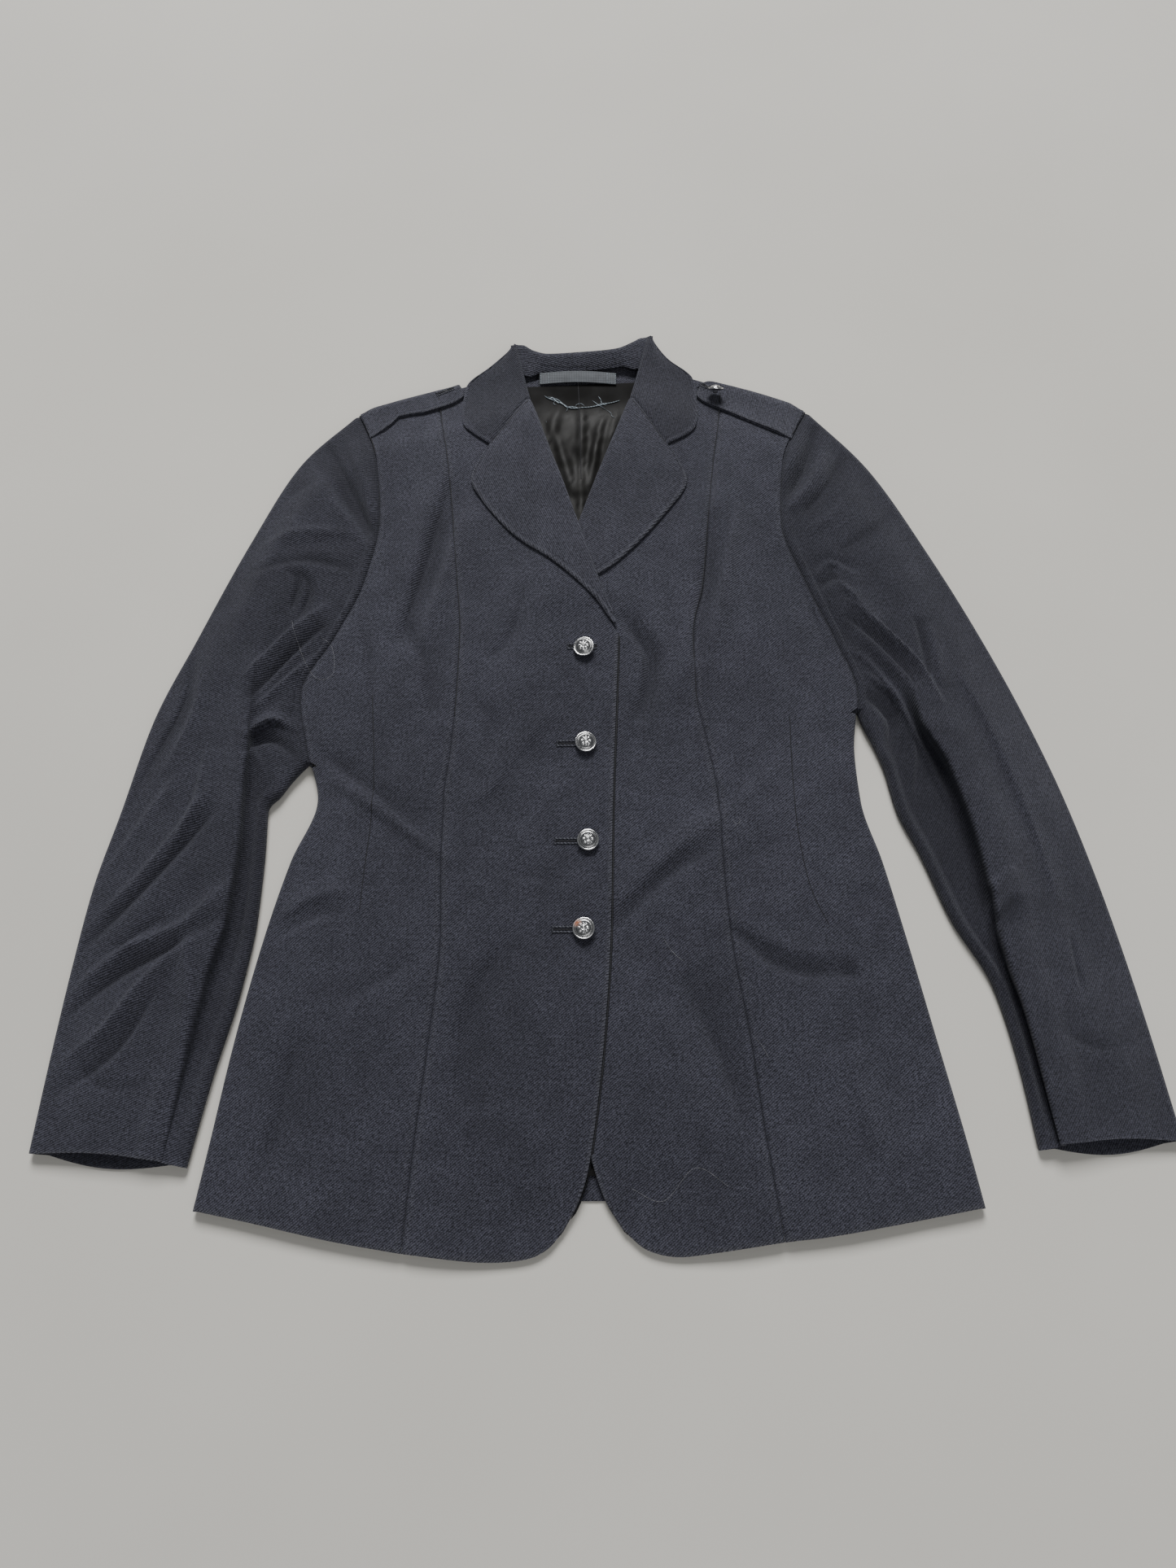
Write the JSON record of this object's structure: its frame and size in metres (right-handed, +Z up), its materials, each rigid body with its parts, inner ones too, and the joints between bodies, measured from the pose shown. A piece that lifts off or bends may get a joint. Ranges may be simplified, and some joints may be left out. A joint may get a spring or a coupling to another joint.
{
  "type": "police uniform tunic",
  "caption": "Dark navy twill police uniform tunic laid flat, with a rounded collar and lapels, shoulder straps, princess seams and domed metal buttons.",
  "frame": {"origin": "on the surface under the middle of the garment's box", "axes": "+X to the wearer's left, from cuff to cuff; +Y from the hem to the collar; +Z up, out of the garment's front"},
  "size_m": [0.825, 0.789, 0.0345],
  "materials": {
    "navy_twill": "matte",
    "black_lining": "satin",
    "blue_tape": "satin",
    "bright_metal": "polished"
  },
  "bodies": {
    "root": {"back_right": "navy_twill", "back_left": "navy_twill", "side_front_right": "navy_twill", "side_front_left": "navy_twill", "front_right": "navy_twill", "front_left": "navy_twill", "top_sleeve_right": "navy_twill", "top_sleeve_left": "navy_twill", "under_sleeve_right": "navy_twill", "under_sleeve_left": "navy_twill", "lapel_right": "navy_twill", "lapel_left": "navy_twill", "collar_right": "navy_twill", "collar_left": "navy_twill", "collar_back": "navy_twill", "lining_neck": "black_lining", "lining_hem": "black_lining", "hanger_tape": "blue_tape", "shoulder_strap_right": "navy_twill", "shoulder_strap_left": "navy_twill", "button_1": "bright_metal", "button_2": "bright_metal", "button_3": "bright_metal", "button_4": "bright_metal", "strap_button_left": "bright_metal"}
  },
  "joints": []
}
